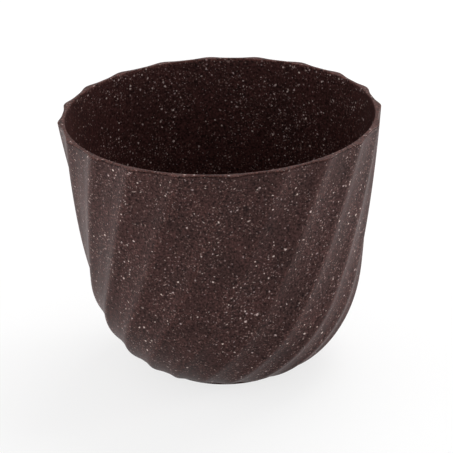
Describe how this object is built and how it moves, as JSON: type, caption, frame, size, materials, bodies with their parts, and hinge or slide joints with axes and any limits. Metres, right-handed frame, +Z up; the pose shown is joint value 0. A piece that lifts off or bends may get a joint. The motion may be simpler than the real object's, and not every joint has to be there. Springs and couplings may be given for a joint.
{
  "type": "plant pot",
  "caption": "Round plant pot with a swirl of shallow flutes outside, a smooth inside, a rounded bowl on a small foot ring, and lift-out plugs in the drain holes of its floor.",
  "frame": {"origin": "centre of the plane that the foot ring stands on", "axes": "+Z up along the pot's axis, -Y to the front as in the picture, +X to the right"},
  "size_m": [0.1598, 0.1598, 0.132],
  "materials": {
    "husk_compound": "matte dark brown moulding compound with pale plant-fibre flecks",
    "plug_rubber": "matte dark brown soft rubber"
  },
  "bodies": {
    "pot": {"pot_shell": "husk_compound"},
    "plug_1": {"drain_plug_1": "plug_rubber"},
    "plug_2": {"drain_plug_2": "plug_rubber"},
    "plug_3": {"drain_plug_3": "plug_rubber"}
  },
  "joints": [
    {"name": "plug_1_lift", "type": "slide", "parent": "pot", "child": "plug_1", "axis": [0, 0, 1], "range_m": [0, 0.04]},
    {"name": "plug_2_lift", "type": "slide", "parent": "pot", "child": "plug_2", "axis": [0, 0, 1], "range_m": [0, 0.04]},
    {"name": "plug_3_lift", "type": "slide", "parent": "pot", "child": "plug_3", "axis": [0, 0, 1], "range_m": [0, 0.04]}
  ]
}
